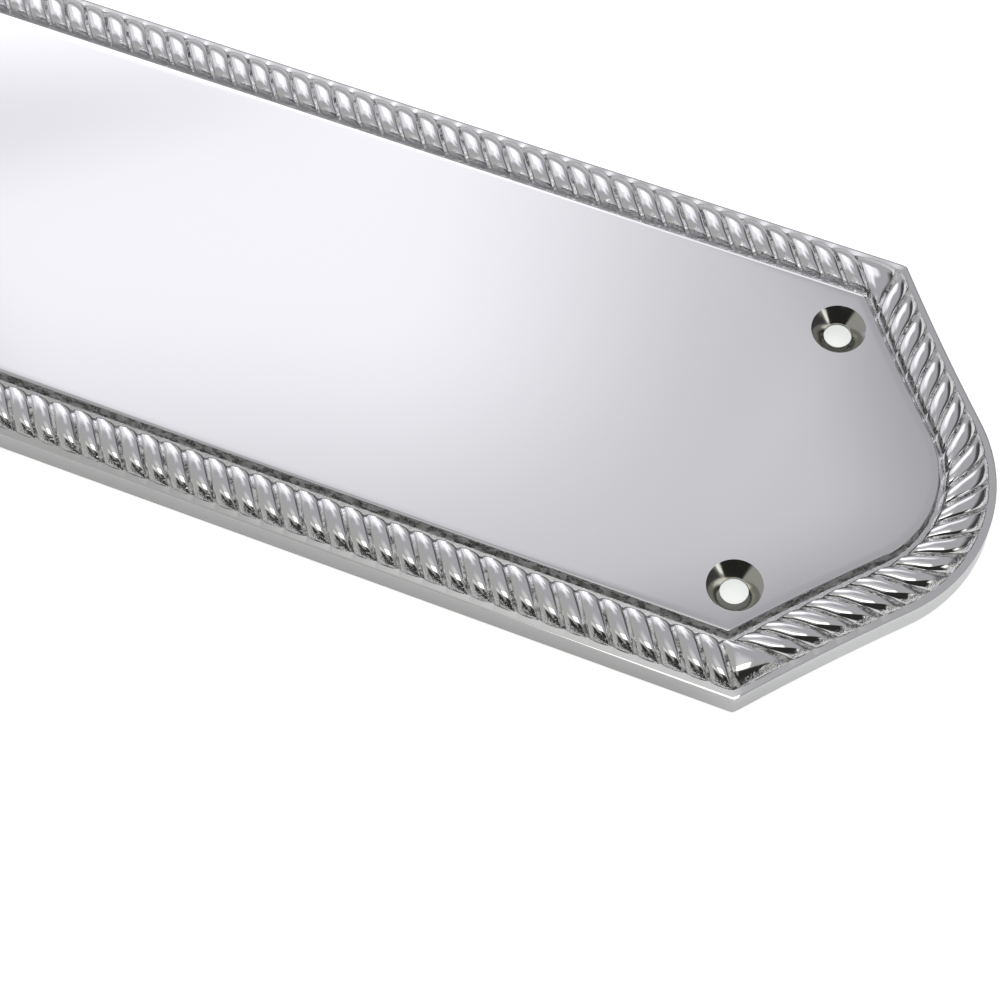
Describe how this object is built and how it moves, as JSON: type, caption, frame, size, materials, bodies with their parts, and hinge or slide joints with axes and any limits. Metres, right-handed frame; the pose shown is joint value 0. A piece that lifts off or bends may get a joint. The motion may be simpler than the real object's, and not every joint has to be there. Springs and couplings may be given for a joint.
{
  "type": "door finger plate",
  "caption": "Long cast door finger plate with ogee ends, a raised flat panel, a rope moulded border and countersunk screw holes.",
  "frame": {"origin": "middle of the plate's flat back", "axes": "+X along the plate, which is upright on a door; +Y across it; +Z out of the door, through the polished face"},
  "size_m": [0.305, 0.076, 0.0067],
  "materials": {
    "polished_chrome": "polished"
  },
  "bodies": {
    "root": {"finger_plate": "polished_chrome"}
  },
  "joints": []
}
